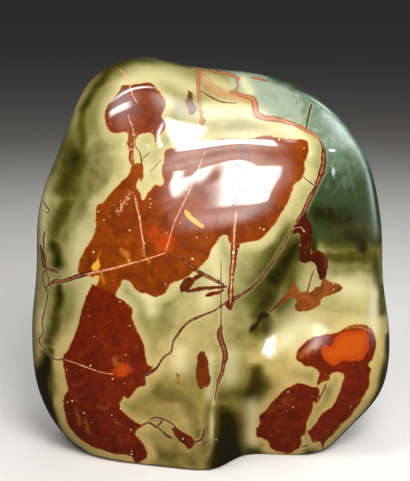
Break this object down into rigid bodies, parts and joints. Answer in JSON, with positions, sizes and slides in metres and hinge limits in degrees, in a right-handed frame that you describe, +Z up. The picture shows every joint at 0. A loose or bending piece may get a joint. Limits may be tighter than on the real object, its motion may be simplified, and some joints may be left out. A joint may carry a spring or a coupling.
{
  "type": "polished polychrome jasper freeform",
  "caption": "Freeform of polychrome jasper, ground to soft lobes and hollows, polished all over and sawn flat underneath so that it stands on edge as an ornament.",
  "frame": {"origin": "on the floor, under the middle of the stone's box", "axes": "+Z up, the show face looks along -Y, +X is to the right of someone who looks at the show face"},
  "size_m": [0.15, 0.0882, 0.1622],
  "materials": {
    "polished_jasper": "polished to a mirror gloss; cream to olive green ground with red-brown patches, orange cores and fine veins"
  },
  "bodies": {
    "root": {"jasper": "polished_jasper"}
  },
  "joints": []
}
